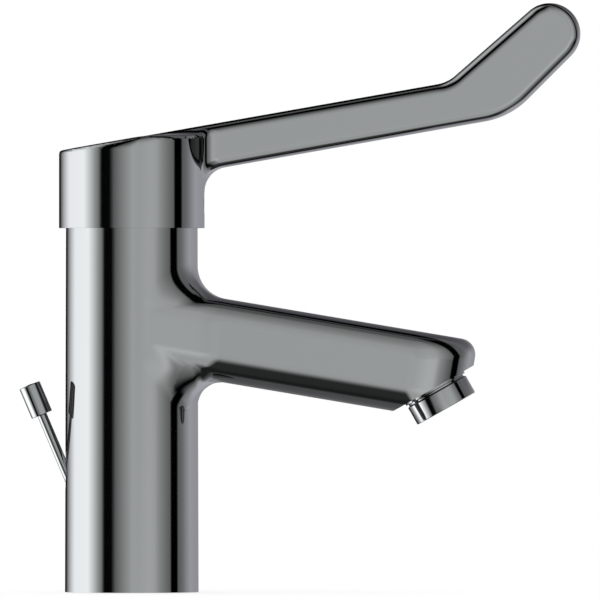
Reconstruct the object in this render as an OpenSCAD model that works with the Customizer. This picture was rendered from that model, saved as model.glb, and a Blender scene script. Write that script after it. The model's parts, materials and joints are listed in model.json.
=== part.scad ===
// Single-lever basin tap with a long side lever and a lift rod for the waste.
// The origin is the centre of the foot, +Z is up and +X is towards the spout and the lever.
// The lever is drawn closed, the rod is drawn down.

/* [Column] */
// Radius of the column at the foot
column_foot_r = 24.05; // [22:0.05:27]
// Radius of the column at the seam under the cap
column_top_r = 23.7; // [23:0.05:24.1]
// Height of the seam between the column and the cap
seam_z = 131; // [125:0.5:150]
// Rise of the rim inside the cap
rim_rise = 1.4; // [0.8:0.1:1.6]

/* [Spout] */
// Width of the spout
spout_w = 38; // [36:0.5:44]
// Thickness of the spout, square to its slope
spout_h = 29.8; // [28:0.2:34]
// Downward slope of the spout, degrees
spout_slope = 9.55; // [5:0.05:14]
// Height of the spout's middle plane on the column's axis
spout_root_z = 96.1; // [92:0.1:100]
// Distance along the slope to the centre of the round end
spout_end = 104.8; // [85:0.1:130]
// Radius of the long edges
spout_edge_r = 8.8; // [5:0.1:11]
// Wall of the hollow spout
spout_wall = 3.5; // [2.5:0.1:5]
// Radius of the hollow on top, between column and spout
blend_top_r = 12; // [6:0.5:15]
// Radius of the hollow below, between column and spout
blend_bottom_r = 8.3; // [5:0.1:12]

/* [Outlet] */
// Slant of the outlet face against the spout's underside, degrees
outlet_slant = 39.05; // [30:0.05:45]
// Distance of the outlet's centre past the centre of the round end
outlet_ahead = 6.4; // [4:0.1:11]
// Distance of the outlet's centre below the middle plane
outlet_drop = 4.1; // [2:0.1:6]
// Radius of the aerator's thread
aerator_thread_r = 11; // [9:0.1:11.4]
// Radius of the aerator's collar
collar_r = 11.9; // [11.6:0.1:12.6]
// Height of the aerator's collar
collar_h = 7; // [5:0.1:9]
// Height of the groove behind the collar
neck_h = 0.9; // [0.5:0.1:1.5]
// Radius of the turned ring on the outlet face
boss_r = 12.1; // [11.8:0.1:12.8]
// Height of the turned ring on the outlet face
boss_h = 0.8; // [0.4:0.1:1.5]
// Length of the aerator's thread
aerator_thread_l = 7; // [6:0.5:8]

/* [Foot] */
// Radius of the tapping for a supply hose
hose_socket_r = 4.46; // [4:0.01:4.8]
// Depth of that tapping
hose_socket_l = 14; // [10:1:20]
// Radius of the tapping for the fixing stud
stud_socket_r = 3.4; // [2.5:0.1:4.2]
// Depth of that tapping
stud_socket_l = 22; // [15:1:30]
// Distance of the fixing stud in front of the axis
stud_x = 13; // [11:0.5:14]
// Middle radius of the seal under the foot
base_seal_r = 21; // [20.5:0.1:21.5]
// Width of that seal
base_seal_w = 3; // [2:0.1:3.4]
// Height of that seal
base_seal_h = 2; // [1.5:0.1:3]

/* [Cartridge] */
// Radius of the cartridge
cartridge_r = 17.5; // [17:0.1:17.6]
// Distance of the chamber's floor below the seam
chamber_depth = 37; // [36.5:0.1:38]
// Thickness of the port plate
port_plate_h = 4.5; // [4:0.1:5]
// Radius of the circle that the three ports lie on
port_circle_r = 7.3; // [7:0.1:7.5]
// Radius of a port
port_r = 2.3; // [1.8:0.1:2.4]
// Thickness of each ceramic disc
disc_h = 4; // [3.5:0.1:4.2]
// Radius of the moving disc
moving_disc_r = 12.3; // [11.8:0.1:12.4]
// Height of the spindle's pivot below the seam
pivot_drop = 4.5; // [4.2:0.1:5]
// Distance from the pivot to the middle of the spindle's ball end
spindle_arm = 12; // [11.8:0.1:12.4]
// Radius of the ball end
ball_r = 2.8; // [2.4:0.1:3]
// Distance from the pivot to the top of the spindle's stem
stem_l = 24.5; // [22:0.5:27]
// Side of the square stem
stem_w = 8; // [7:0.1:8.4]
// Lean of the closed spindle towards the spout, degrees
stem_lean = 12.5; // [10:0.5:13]
// Radius of the pivot pin
pin_r = 2; // [1.5:0.1:2.2]
// Radius of the rotor's neck
rotor_r = 11; // [10.5:0.1:11.2]
// Radius of the nut's thread
nut_r = 19.4; // [19:0.1:19.8]

/* [Lever] */
// Overhang of the cap past the column's top
cap_overhang = 2.5; // [2:0.05:3.3]
// Wall of the cap
cap_wall = 1.7; // [1.4:0.05:1.9]
// Radius of the cap's upper edge
cap_edge_r = 1; // [0.8:0.1:4]
// Height of the cap's sloping top on the axis, above the seam
cap_top = 32.4; // [30:0.2:38]
// Height of the cap's level shoulder in front, above the seam
cap_shoulder = 33.8; // [32:0.1:36]
// Upward slope of the lever, degrees
lever_slope = 10; // [8:0.5:12]
// Height of the handle, square to its slope
handle_h = 16.2; // [12:0.2:18]
// Thickness of the handle
handle_t = 8; // [7:0.1:12]
// Radius of the handle's edges
handle_edge_r = 3.8; // [2:0.1:3.9]
// Reach of the handle's straight part
handle_reach = 112; // [90:1:130]
// Radius of the heel of the paddle
heel_r = 11.4; // [10:0.1:13]
// Distance of the heel's centre past the straight part
heel_dx = 18.6; // [14:0.1:24]
// Radius of the paddle's round end
tip_r = 11.05; // [9:0.05:13]
// Distance of the round end's centre past the straight part
tip_dx = 38.45; // [30:0.05:50]
// Height of the round end's centre above the straight part's top
tip_dz = 17.8; // [10:0.1:25]
// Radius of the hollow under the lever, at the cap
throat_r = 9; // [5:0.5:12]
// Radius of the hollows beside the lever, at the cap
side_throat_r = 6.2; // [4:0.1:8]
// Height of the set screw above the seam
set_screw_rise = 8.9; // [8.5:0.1:10]
// Radius of the set screw
set_screw_r = 2.5; // [2:0.1:3]
// Radius of the plug in the cap
plug_r = 3.8; // [3:0.1:4.5]

/* [Lift rod] */
// Height where the rod leaves the column
rod_exit_z = 44; // [40:0.5:60]
// Lean of the rod, degrees
rod_lean = 22.95; // [20:0.05:24]
// Radius of the rod
rod_r = 1.75; // [1.5:0.05:2.2]
// Length of rod that shows below the knob
rod_out = 21.5; // [18:0.5:40]
// Length of rod inside the column
rod_in = 44; // [30:0.5:46]
// Radius of the knob
knob_r = 3.95; // [3:0.05:5]
// Height of the knob
knob_h = 11.8; // [8:0.1:16]

/* [Fits] */
// Radial clearance of turning and sliding fits
run_gap = 0.05; // [0.02:0.01:0.1]
// Radial clearance of screwed and seated pieces
seat_gap = 0.1; // [0.05:0.01:0.2]
// Gap between loose faces inside the cartridge
free_gap = 0.3; // [0.2:0.05:0.4]

/* [Hidden] */
$fn = 96;
eps = 0.01;
far = 400;
chrome = [0.75, 0.76, 0.77];
brass = [0.78, 0.65, 0.35];
rubber = [0.1, 0.1, 0.1];

// Column and chamber
rim_z = seam_z + rim_rise;
floor_z = seam_z - chamber_depth;
chamber_r = cartridge_r + 2 * seat_gap;
blend_sink = 0.15;
blend_half_w = spout_w / 2 - spout_edge_r;
feed_r = 2.8;
feed_z = floor_z - feed_r - 3;
hollow_start = 22.5;
supply_angles = [-60, 60];
mixed_angle = 180;
port_angles = [-60, 60, 180];

// Outlet, along its own axis, which points out of the spout
outlet_bore_r = aerator_thread_r + seat_gap;
washer_h = 1.8;
outlet_bore_l = aerator_thread_l + washer_h;
outlet_plate = 2;
outlet_way_r = 8.6;
neck_r = aerator_thread_r + 0.2;
aerator_front = boss_h + neck_h + collar_h;
aerator_wall = 1.3;
aerator_bore_r = aerator_thread_r - aerator_wall;
aerator_lip_h = 1.2;
screen_h = 0.9;

// Cartridge levels
pivot_z = seam_z - pivot_drop;
disc_z = floor_z + port_plate_h;
moving_z = disc_z + disc_h + run_gap;
carrier_z = moving_z + disc_h;
mix_r = 6.1;
mix_reach = 10.5;
mix_half_w = 5;
mix_h = 2;
carrier_plate_h = 2.8;
carrier_boss_w = 14;
carrier_boss_l = 16;
ear_t = 4.8;
ball_x = -spindle_arm * sin(stem_lean);
ball_z = pivot_z - spindle_arm * cos(stem_lean);
carrier_top = ball_z + 0.4;
ear_z = carrier_z + carrier_plate_h + free_gap;
ear_y = carrier_boss_w / 2 + run_gap + ear_t / 2;
rotor_plate_h = 2.1;
housing_step_drop = 7.3;
housing_step_z = pivot_z - housing_step_drop;
rotor_plate_z = housing_step_z - 0.2 - rotor_plate_h;
housing_bore_r = cartridge_r - 2.3;
rotor_plate_r = housing_bore_r - free_gap;
housing_top_z = seam_z - 1.5;
housing_neck_r = 14.5;
nut_thread_l = 8;
nut_z = seam_z - nut_thread_l;
nut_bore_r = housing_neck_r + free_gap;
nut_corner_r = nut_r - 0.35;
nut_hex_h = 1.8;
thread_bore_r = nut_r + seat_gap;
ring_h = 2;
lug_gap = 0.2;
rotor_top_z = housing_top_z + ring_h + lug_gap + 2.3;
lug_h = 1.8;
lug_r = housing_neck_r - 0.9;
lug_half = 15;
stop_half = 8;
stop_at = 75;
slot_half_l = 7.2;
slot_half_w = stem_w / 2 + 2 * run_gap;
barrel_r = 4.6;
arm_r = 2.2;
cover_h = 3.6;

// Lever
cap_r = column_top_r + cap_overhang;
cap_bore_r = cap_r - cap_wall;
cap_top_z = seam_z + cap_top;
shoulder_z = seam_z + cap_shoulder;
cap_roof = 5.5;
boss_bottom = spindle_arm - 1.5;
lever_boss_wall = 4.2;
lever_boss_r = stem_w / 2 + lever_boss_wall;
handle_root_x = 12;
screw_z = seam_z + set_screw_rise;
screw_boss_r = set_screw_r + 1.5;
screw_boss_x = 12.5;
stem_front_x = (screw_z - pivot_z) * tan(stem_lean) + stem_w / 2 / cos(stem_lean) + run_gap;
// The screw's flat end meets the leaning stem at its upper edge
screw_tip_x = stem_front_x + set_screw_r * tan(stem_lean);
set_screw_l = screw_boss_x - screw_tip_x;
plug_t = 1.8;

// Lift rod
rod_exit_r = column_foot_r + (column_top_r - column_foot_r) * rod_exit_z / seam_z;
guide_r = rod_r + 1.25;
guide_l = 14;
knob_grip = 8;

// Height of the lever's sloping top at a distance x from the axis
function top_z(x) = cap_top_z + x * tan(lever_slope);

// A flat ring with its lower face at height z
module ring(z, h, r_out, r_in) {
    translate([0, 0, z])
        difference() {
            cylinder(r = r_out, h = h);
            translate([0, 0, -eps]) cylinder(r = r_in, h = h + 2 * eps);
        }
}

// Carries its children to the angles in a list, at a distance r from the axis
module around(angles, r) {
    for (a = angles) rotate([0, 0, a]) translate([r, 0, 0]) children();
}

// A plate of thickness t that stands in the plane of lever and spout
module side_plate(t) {
    rotate([90, 0, 0]) linear_extrude(t, center = true) children();
}

// Frames: the children's own axes are the spout's, the outlet's, the rod's or the spindle's
module spout_frame() {
    translate([0, 0, spout_root_z]) rotate([0, spout_slope, 0]) children();
}

module outlet_frame() {
    spout_frame()
        translate([spout_end + outlet_ahead, 0, -outlet_drop])
            rotate([0, 180 - outlet_slant, 0]) children();
}

module rod_frame() {
    translate([-rod_exit_r, 0, rod_exit_z]) rotate([0, -rod_lean, 0]) children();
}

module stem_frame() {
    translate([0, 0, pivot_z]) rotate([0, stem_lean, 0]) children();
}

// A rectangle with round corners, centred on the origin
module rounded_rect(w, h, r) {
    square([w - 2 * r, h], center = true);
    square([w, h - 2 * r], center = true);
    for (x = [-1, 1], y = [-1, 1])
        translate([x * (w / 2 - r), y * (h / 2 - r)]) circle(r);
}

// A bar along +X with a round far end, its long edges rounded
module round_bar(start, end, w, h, r) {
    translate([start, 0, 0])
        rotate([90, 0, 90]) linear_extrude(end - start) rounded_rect(w, h, r);
    translate([end, 0, 0]) rotate([0, 0, -90])
        rotate_extrude(angle = 180)
            intersection() {
                rounded_rect(w, h, r);
                translate([0, -h]) square([w, 2 * h]);
            }
}

module column(shrink = 0) {
    cylinder(r1 = column_foot_r - shrink, r2 = column_top_r - shrink, h = seam_z);
    translate([0, 0, seam_z - eps]) cylinder(r = column_top_r - shrink, h = rim_rise + eps);
}

// What a blend may fill: a round tongue on the flat of the spout; side is 1 for the top, -1 for below
module blend_tongue(side) {
    spout_frame() translate([0, 0, side * spout_h / 2]) rotate([0, 90, 0])
        cylinder(r = blend_half_w, h = far);
}

// The hollow between the column and the top of the spout
module top_blend() {
    r = blend_top_r;
    reach = column_top_r - blend_sink + r;
    low = spout_root_z + spout_h / 2 / cos(spout_slope) - (reach - 1) * tan(spout_slope);
    intersection() {
        rotate_extrude()
            difference() {
                translate([column_top_r - spout_edge_r, low - spout_edge_r])
                    square([r + spout_edge_r - blend_sink, r + spout_edge_r]);
                translate([reach, low + r]) circle(r);
            }
        blend_tongue(1);
    }
}

// The hollow between the column and the underside of the spout
module bottom_blend() {
    r = blend_bottom_r;
    reach = column_top_r + r;
    high = spout_root_z - spout_h / 2 / cos(spout_slope) - (reach - 1) * tan(spout_slope);
    intersection() {
        rotate_extrude()
            difference() {
                translate([column_top_r - spout_edge_r, high - r])
                    square([r + spout_edge_r, r + spout_edge_r / 2]);
                translate([reach, high - r]) circle(r);
            }
        blend_tongue(-1);
    }
}

module spout_outside() {
    difference() {
        spout_frame() round_bar(0, spout_end, spout_w, spout_h, spout_edge_r);
        outlet_frame() translate([-far / 2, -far / 2, 0]) cube([far, far, far]);
    }
    outlet_frame() translate([0, 0, -outlet_plate]) cylinder(r = boss_r, h = boss_h + outlet_plate);
}

module spout_hollow() {
    difference() {
        spout_frame()
            round_bar(hollow_start, spout_end, spout_w - 2 * spout_wall, spout_h - 2 * spout_wall,
                      spout_edge_r - spout_wall);
        outlet_frame()
            translate([-far / 2, -far / 2, -outlet_bore_l - outlet_plate]) cube([far, far, far]);
    }
}

module body() {
    color(chrome)
        difference() {
            union() {
                column();
                spout_outside();
                top_blend();
                bottom_blend();
            }
            // Chamber and thread of the cartridge
            translate([0, 0, floor_z]) cylinder(r = chamber_r, h = far);
            translate([0, 0, nut_z - 0.5]) cylinder(r = thread_bore_r, h = far);
            // Water ways: two supplies, the mixed water's port, its feed and the hollow spout
            around(supply_angles, port_circle_r)
                translate([0, 0, -eps]) cylinder(r = port_r, h = floor_z + 1);
            around(supply_angles, port_circle_r)
                translate([0, 0, -eps]) cylinder(r = hose_socket_r, h = hose_socket_l + eps);
            around([mixed_angle], port_circle_r)
                translate([0, 0, feed_z]) cylinder(r = port_r, h = floor_z - feed_z + 1);
            translate([-port_circle_r - feed_r, 0, feed_z]) rotate([0, 90, 0])
                cylinder(r = feed_r, h = hollow_start + feed_r + port_circle_r + 2);
            spout_hollow();
            // Outlet, with a shoulder for the washer
            outlet_frame() translate([0, 0, -outlet_bore_l]) cylinder(r = outlet_bore_r, h = far / 10);
            outlet_frame() translate([0, 0, -outlet_bore_l - 2 * outlet_plate])
                cylinder(r = outlet_way_r, h = 3 * outlet_plate);
            // Fixing stud, seal and lift rod
            translate([stud_x, 0, -eps]) cylinder(r = stud_socket_r, h = stud_socket_l + eps);
            ring(-eps, base_seal_h + eps, base_seal_r + base_seal_w / 2 + seat_gap,
                 base_seal_r - base_seal_w / 2 - seat_gap);
            rod_frame() translate([0, 0, -far / 4]) cylinder(r = rod_r + 0.75, h = far / 4);
            rod_frame() translate([0, 0, -guide_l]) cylinder(r = guide_r + seat_gap / 2, h = 2 * guide_l);
        }
}

module base_seal() {
    color(rubber)
        ring(0, base_seal_h, base_seal_r + base_seal_w / 2, base_seal_r - base_seal_w / 2);
}

// Seals that lie round the ports, in grooves of the port plate
seal_in = port_r + 0.5;
seal_out = port_r + 1.9;
port_seal_h = 1.3;
disc_seal_h = 0.9;

module port_seal_set(z, h, extra) {
    around(port_angles, port_circle_r) ring(z, h, seal_out + extra, seal_in - extra);
}

module cartridge_base() {
    color("dimgray")
        difference() {
            translate([0, 0, floor_z]) cylinder(r = cartridge_r, h = port_plate_h);
            around(port_angles, port_circle_r)
                translate([0, 0, floor_z - 1]) cylinder(r = port_r, h = port_plate_h + 2);
            port_seal_set(floor_z - eps, port_seal_h + eps, run_gap);
            port_seal_set(disc_z - disc_seal_h, disc_seal_h + eps, run_gap);
        }
}

module port_seals() {
    color(rubber) port_seal_set(floor_z, port_seal_h, 0);
}

module disc_seals() {
    color(rubber) port_seal_set(disc_z - disc_seal_h, disc_seal_h, 0);
}

module fixed_disc() {
    color("gainsboro")
        difference() {
            translate([0, 0, disc_z]) cylinder(r = housing_bore_r - seat_gap, h = disc_h);
            around(port_angles, port_circle_r)
                translate([0, 0, disc_z - 1]) cylinder(r = port_r, h = disc_h + 2);
        }
}

module moving_disc() {
    color("white")
        difference() {
            translate([ball_x, 0, moving_z]) cylinder(r = moving_disc_r, h = disc_h);
            // Mixing hollow, open towards the fixed disc
            translate([ball_x, 0, moving_z - eps]) {
                cylinder(r = mix_r, h = mix_h);
                translate([-mix_reach, -mix_half_w, 0]) cube([mix_reach, 2 * mix_half_w, mix_h]);
            }
        }
}

module disc_carrier() {
    color("royalblue")
        difference() {
            union() {
                translate([ball_x, 0, carrier_z]) cylinder(r = moving_disc_r, h = carrier_plate_h);
                translate([ball_x - carrier_boss_l / 2, -carrier_boss_w / 2, carrier_z])
                    cube([carrier_boss_l, carrier_boss_w, carrier_top - carrier_z]);
            }
            translate([ball_x, 0, ball_z - ball_r - 1.2]) cylinder(r = ball_r + run_gap, h = far);
        }
}

module cartridge_housing() {
    color("whitesmoke")
        difference() {
            union() {
                translate([0, 0, disc_z]) cylinder(r = cartridge_r, h = nut_z - disc_z);
                translate([0, 0, disc_z]) cylinder(r = housing_neck_r, h = housing_top_z - disc_z);
            }
            translate([0, 0, disc_z - 1]) cylinder(r = housing_bore_r, h = housing_step_z - disc_z + 1);
            cylinder(r = rotor_r + run_gap, h = far);
        }
}

// A sector of a ring, from -half to +half degrees about the -X direction
module rear_sector(r_in, r_out, z, h, half) {
    rotate([0, 0, 180 - half]) translate([0, 0, z])
        rotate_extrude(angle = 2 * half) translate([r_in, 0]) square([r_out - r_in, h]);
}

module rotor() {
    color("seagreen")
        difference() {
            union() {
                translate([0, 0, rotor_plate_z]) cylinder(r = rotor_r, h = rotor_top_z - rotor_plate_z);
                translate([0, 0, rotor_plate_z]) cylinder(r = rotor_plate_r, h = rotor_plate_h);
                rear_sector(rotor_r - 1, lug_r, rotor_top_z - 0.5 - lug_h, lug_h, lug_half);
                // Ears that guide the disc carrier
                for (side = [-1, 1])
                    translate([-slot_half_l, side * ear_y - ear_t / 2, ear_z])
                        cube([2 * slot_half_l, ear_t, rotor_plate_z - ear_z + 1]);
            }
            translate([-slot_half_l, -slot_half_w, ear_z])
                cube([2 * slot_half_l, 2 * slot_half_w, far]);
            translate([0, 0, pivot_z]) rotate([90, 0, 0])
                cylinder(r = pin_r + run_gap, h = 3 * rotor_r, center = true);
        }
}

module spindle_pin() {
    color("silver")
        translate([0, 0, pivot_z]) rotate([90, 0, 0])
            cylinder(r = pin_r, h = 2 * rotor_r - 1.2, center = true);
}

module spindle() {
    color(brass)
        difference() {
            union() {
                stem_frame() rotate([90, 0, 0])
                    cylinder(r = barrel_r, h = stem_w, center = true);
                stem_frame() translate([-stem_w / 2, -stem_w / 2, 0]) cube([stem_w, stem_w, stem_l]);
                stem_frame() translate([0, 0, -spindle_arm]) cylinder(r = arm_r, h = spindle_arm);
                stem_frame() translate([0, 0, -spindle_arm]) sphere(ball_r);
            }
            stem_frame() rotate([90, 0, 0]) cylinder(r = pin_r + run_gap, h = 2 * stem_w, center = true);
        }
}

module limit_ring() {
    color("crimson") {
        ring(housing_top_z, ring_h, housing_neck_r - 0.2, rotor_r + free_gap);
        // The two stops stand on the ring, a little inside its walls
        for (side = [-1, 1])
            rotate([0, 0, side * stop_at])
                rear_sector(rotor_r + 2 * free_gap, housing_neck_r - 0.2 - free_gap,
                            housing_top_z + ring_h / 2, lug_h + ring_h / 2, stop_half);
    }
}

module cartridge_nut() {
    color(brass)
        difference() {
            union() {
                translate([0, 0, nut_z]) cylinder(r = nut_r, h = rim_z - nut_z);
                translate([0, 0, rim_z - eps])
                    cylinder(r = nut_corner_r, h = nut_hex_h + eps, $fn = 6);
            }
            translate([0, 0, nut_z - 1]) cylinder(r = nut_bore_r, h = far);
        }
}

module cover_ring() {
    // Its foot stands midway between the nut's corners and the column's edge
    foot = (column_top_r - nut_corner_r) / 3;
    foot_in = nut_corner_r + foot;
    foot_out = foot_in + foot;
    lean = foot / 2;
    roof = 1.2;
    bevel = 0.8;
    lip_in = nut_bore_r + 0.6;
    color(chrome)
        translate([0, 0, rim_z])
            rotate_extrude()
                polygon([[foot_in, 0], [foot_out, 0], [foot_out - lean, cover_h - bevel],
                         [foot_out - lean - bevel, cover_h], [lip_in, cover_h],
                         [lip_in, cover_h - roof], [foot_in - lean, cover_h - roof]]);
}

// A flat disc with fully rounded rim, lying in the plane of the lever, centred at [x, z]
module pill(x, z, r) {
    flat = handle_t / 2 - handle_edge_r;
    translate([x, 0, z]) rotate([90, 0, 0])
        for (side = [-1, 1])
            translate([0, 0, side * flat])
                rotate_extrude($fn = 40)
                    intersection() {
                        translate([r - handle_edge_r, 0]) circle(handle_edge_r, $fn = 16);
                        translate([0, -handle_edge_r]) square(r + handle_edge_r);
                    }
}

// Centre of a round of the handle whose top lies on the sloping top at x
function under_top(x, r) = [x + r * sin(lever_slope), top_z(x) - r * cos(lever_slope)];

module handle() {
    root = under_top(handle_root_x, handle_h / 2);
    bend = under_top(handle_reach, handle_h / 2);
    bottom_z = top_z(0) - handle_h / cos(lever_slope);
    heel_x = handle_reach + heel_dx;
    heel_z = bottom_z + heel_x * tan(lever_slope) + heel_r / cos(lever_slope);
    hull() {
        pill(root[0], root[1], handle_h / 2);
        pill(bend[0], bend[1], handle_h / 2);
    }
    hull() {
        pill(bend[0], bend[1], handle_h / 2);
        pill(heel_x, heel_z, heel_r);
        pill(handle_reach + tip_dx, top_z(handle_reach) + tip_dz, tip_r);
    }
}

// The rounded hollows where the handle leaves the cap
module throats() {
    b = handle_t / 2;
    side_x = sqrt(pow(cap_r + side_throat_r, 2) - pow(b + side_throat_r, 2));
    under_z = top_z(0) - handle_h / cos(lever_slope);
    corner_x = cap_r - blend_sink;
    corner_z = under_z + (corner_x + throat_r) * tan(lever_slope) + blend_sink;
    side_plate(handle_t - 1)
        difference() {
            translate([corner_x - 2, corner_z - throat_r])
                square([throat_r + 2, throat_r + handle_h / 2]);
            translate([corner_x + throat_r, corner_z - throat_r]) circle(throat_r);
        }
    intersection() {
        linear_extrude(shoulder_z - cap_edge_r / 2)
            difference() {
                translate([cap_bore_r, -b - side_throat_r])
                    square([side_x - cap_bore_r, 2 * (b + side_throat_r)]);
                for (side = [-1, 1])
                    translate([side_x, side * (b + side_throat_r - blend_sink)]) circle(side_throat_r);
            }
        translate([0, -far / 2, top_z(0) - handle_edge_r / 2]) rotate([0, -lever_slope, 0])
            translate([0, 0, -handle_h + handle_edge_r]) cube([far, far, handle_h - handle_edge_r]);
    }
}

module cap_outside() {
    r = cap_r - cap_edge_r;
    hull() {
        translate([0, 0, seam_z]) cylinder(r = cap_r, h = 1, $fn = 72);
        for (a = [0:10:350]) {
            x = r * cos(a);
            z = min(shoulder_z, top_z(x)) - cap_edge_r;
            translate([x, r * sin(a), z]) sphere(cap_edge_r, $fn = 20);
        }
    }
}

// The space above the cap's roof
module above_roof() {
    translate([0, 0, cap_top_z - cap_roof]) rotate([0, -lever_slope, 0])
        translate([-far / 2, -far / 2, 0]) cube(far);
}

module lever() {
    color(chrome)
        difference() {
            union() {
                difference() {
                    union() {
                        cap_outside();
                        handle();
                        throats();
                    }
                    // Hollow of the cap, its roof parallel to the sloping top
                    difference() {
                        translate([0, 0, seam_z - 1]) cylinder(r = cap_bore_r, h = far);
                        above_roof();
                    }
                }
                lever_boss();
            }
            stem_frame()
                translate([-stem_w / 2 - run_gap, -stem_w / 2 - run_gap, boss_bottom - 1])
                    cube([stem_w + 2 * run_gap, stem_w + 2 * run_gap, stem_l + 0.5 - boss_bottom + 1]);
            translate([0, 0, screw_z]) rotate([0, 90, 0])
                cylinder(r = set_screw_r + run_gap, h = screw_boss_x + 1);
            translate([cap_bore_r - 2, 0, screw_z]) rotate([0, 90, 0])
                cylinder(r = plug_r + seat_gap, h = cap_r - cap_bore_r + 4);
        }
}

// The boss that takes the stem and the set screw
module lever_boss() {
    intersection() {
        union() {
            stem_frame() translate([0, 0, boss_bottom]) cylinder(r = lever_boss_r, h = far / 8);
            translate([stem_front_x - 1, 0, screw_z]) rotate([0, 90, 0])
                cylinder(r = screw_boss_r, h = screw_boss_x - stem_front_x + 1);
        }
        translate([0, 0, cap_top_z - cap_roof / 2]) rotate([0, -lever_slope, 0])
            translate([-far / 2, -far / 2, -far]) cube([far, far, far]);
    }
}

module set_screw() {
    color("dimgray")
        difference() {
            translate([screw_tip_x, 0, screw_z]) rotate([0, 90, 0])
                cylinder(r = set_screw_r, h = set_screw_l);
            translate([screw_tip_x + set_screw_l / 2, 0, screw_z]) rotate([0, 90, 0])
                cylinder(r = set_screw_r / sqrt(3), h = set_screw_l, $fn = 6);
        }
}

module index_plug() {
    color("steelblue")
        intersection() {
            translate([cap_r - plug_t, 0, screw_z]) rotate([0, 90, 0]) cylinder(r = plug_r, h = plug_t);
            translate([0, 0, seam_z]) cylinder(r = cap_r - seat_gap, h = cap_top);
        }
}

module aerator_housing() {
    color(chrome)
        outlet_frame()
            difference() {
                union() {
                    translate([0, 0, -aerator_thread_l])
                        cylinder(r = aerator_thread_r, h = aerator_thread_l + boss_h + eps);
                    translate([0, 0, boss_h]) cylinder(r = neck_r, h = neck_h + eps);
                    translate([0, 0, boss_h + neck_h]) cylinder(r = collar_r, h = collar_h);
                }
                translate([0, 0, -aerator_thread_l - 1])
                    cylinder(r = aerator_bore_r, h = aerator_thread_l + 1 + aerator_front - aerator_lip_h);
                cylinder(r = aerator_bore_r - 0.7, h = far);
            }
}

module aerator_washer() {
    color(rubber)
        outlet_frame()
            ring(-outlet_bore_l, washer_h, aerator_thread_r, outlet_way_r);
}

insert_top = -4;
insert_wall = 1.5;
insert_plate = 2;
insert_holes = 8;

module aerator_insert() {
    low = aerator_front - aerator_lip_h - screen_h;
    color("lightgray")
        outlet_frame()
            difference() {
                translate([0, 0, insert_top])
                    cylinder(r = aerator_bore_r - seat_gap, h = low - insert_top);
                translate([0, 0, insert_top + insert_plate])
                    cylinder(r = aerator_bore_r - seat_gap - insert_wall, h = far);
                for (i = [0:insert_holes - 1])
                    rotate([0, 0, i * 360 / insert_holes]) translate([aerator_bore_r * 0.6, 0, insert_top - 1])
                        cylinder(r = 1, h = insert_plate + 2);
            }
}

screen_pitch = 2.7;
screen_hole_r = 1;

module aerator_screen() {
    z = aerator_front - aerator_lip_h - screen_h;
    r = aerator_bore_r - seat_gap;
    color("gray")
        outlet_frame()
            difference() {
                translate([0, 0, z]) cylinder(r = r, h = screen_h);
                for (row = [-3:3], col = [-3:3]) {
                    x = (col + (abs(row) % 2) / 2) * screen_pitch;
                    y = row * screen_pitch * sin(60);
                    if (norm([x, y]) < r - 1.8)
                        translate([x, y, z - 1]) cylinder(r = screen_hole_r, h = screen_h + 2);
                }
            }
}

module rod_guide() {
    color("ivory")
        intersection() {
            rod_frame()
                difference() {
                    translate([0, 0, -guide_l]) cylinder(r = guide_r, h = 2 * guide_l);
                    translate([0, 0, -guide_l - 1]) cylinder(r = rod_r + run_gap, h = 3 * guide_l);
                }
            column(seat_gap);
        }
}

module lift_rod() {
    color(chrome)
        rod_frame() translate([0, 0, -rod_in]) cylinder(r = rod_r, h = rod_in + rod_out + knob_grip);
}

module rod_knob() {
    edge = 0.5;
    color(chrome)
        rod_frame()
            translate([0, 0, rod_out])
                difference() {
                    rotate_extrude()
                        polygon([[0, 0], [knob_r - edge, 0], [knob_r, edge], [knob_r, knob_h - 1.5 * edge],
                                 [knob_r - edge, knob_h - edge / 2], [0, knob_h]]);
                    translate([0, 0, -1]) cylinder(r = rod_r + run_gap, h = knob_grip + 1 + run_gap);
                }
}

body();
base_seal();
cartridge_base();
port_seals();
disc_seals();
cartridge_housing();
fixed_disc();
moving_disc();
disc_carrier();
rotor();
spindle_pin();
spindle();
limit_ring();
cartridge_nut();
cover_ring();
lever();
set_screw();
index_plug();
aerator_housing();
aerator_washer();
aerator_insert();
aerator_screen();
rod_guide();
lift_rod();
rod_knob();
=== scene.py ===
# %% [markdown]
# # A chromed basin tap with a long side lever
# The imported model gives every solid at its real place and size. This notebook dresses it: the two big
# castings get smooth skins that chrome can be judged on, the turned pieces get fine lathe meshes, and
# every other piece keeps its solid and gets a finish. Chrome has hardly a colour of its own, so the
# studio around the tap matters as much as the metal.

import json
import math

import bmesh
import bpy
import numpy as np
from mathutils import Matrix, Vector

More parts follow.
